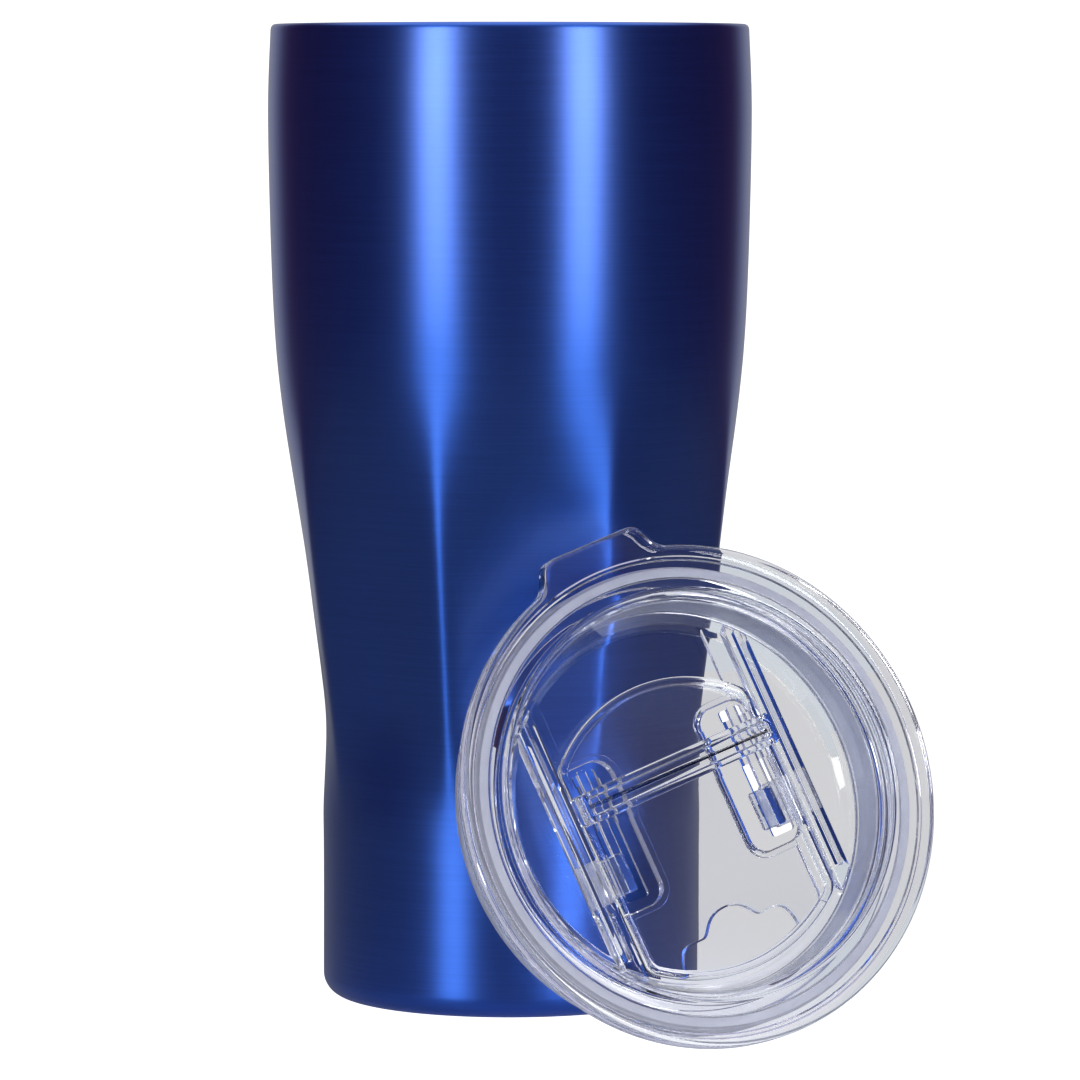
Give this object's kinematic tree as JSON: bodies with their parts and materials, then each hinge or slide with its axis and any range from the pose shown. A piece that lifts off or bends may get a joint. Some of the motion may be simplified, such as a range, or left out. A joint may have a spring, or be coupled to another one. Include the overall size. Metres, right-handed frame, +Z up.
{
  "type": "insulated tumbler with lid",
  "caption": "Double-walled steel tumbler with a lacquered, faceted waist, and its clear push-in lid with a sliding drink closure leaning beside it.",
  "frame": {"origin": "centre of the tumbler's flat base, on the surface it stands on", "axes": "+Z up along the tumbler's axis, -Y towards the viewer of the front, +X to the viewer's right"},
  "size_m": [0.1184, 0.1203, 0.177],
  "materials": {
    "blue_lacquer": "translucent blue lacquer over fine brushed steel",
    "bare_steel": "turned and brushed",
    "copper_foil": "bright copper foil",
    "solder": "dull grey sealing metal",
    "getter_metal": "sintered grey",
    "clear_plastic": "clear polished plastic",
    "silicone": "translucent milky silicone"
  },
  "bodies": {
    "tumbler": {"outer_shell": "blue_lacquer", "inner_liner": "bare_steel", "radiation_foil": "copper_foil", "bottom_plate": "bare_steel", "seal_bead": "solder", "getter": "getter_metal", "base_cover": "bare_steel"},
    "lid": {"lid_shell": "clear_plastic", "lid_gasket": "silicone"},
    "slider": {"slider": "clear_plastic", "slider_foot_left": "silicone", "slider_foot_right": "silicone"}
  },
  "joints": [
    {"name": "lid_lift_off", "type": "slide", "parent": "tumbler", "child": "lid", "axis": [0.3551, -0.8922, 0.279], "range_m": [0, 0.12]},
    {"name": "slider_open", "type": "slide", "parent": "lid", "child": "slider", "axis": [-0.4089, 0.1202, 0.9047], "range_m": [0, 0.0095]}
  ]
}
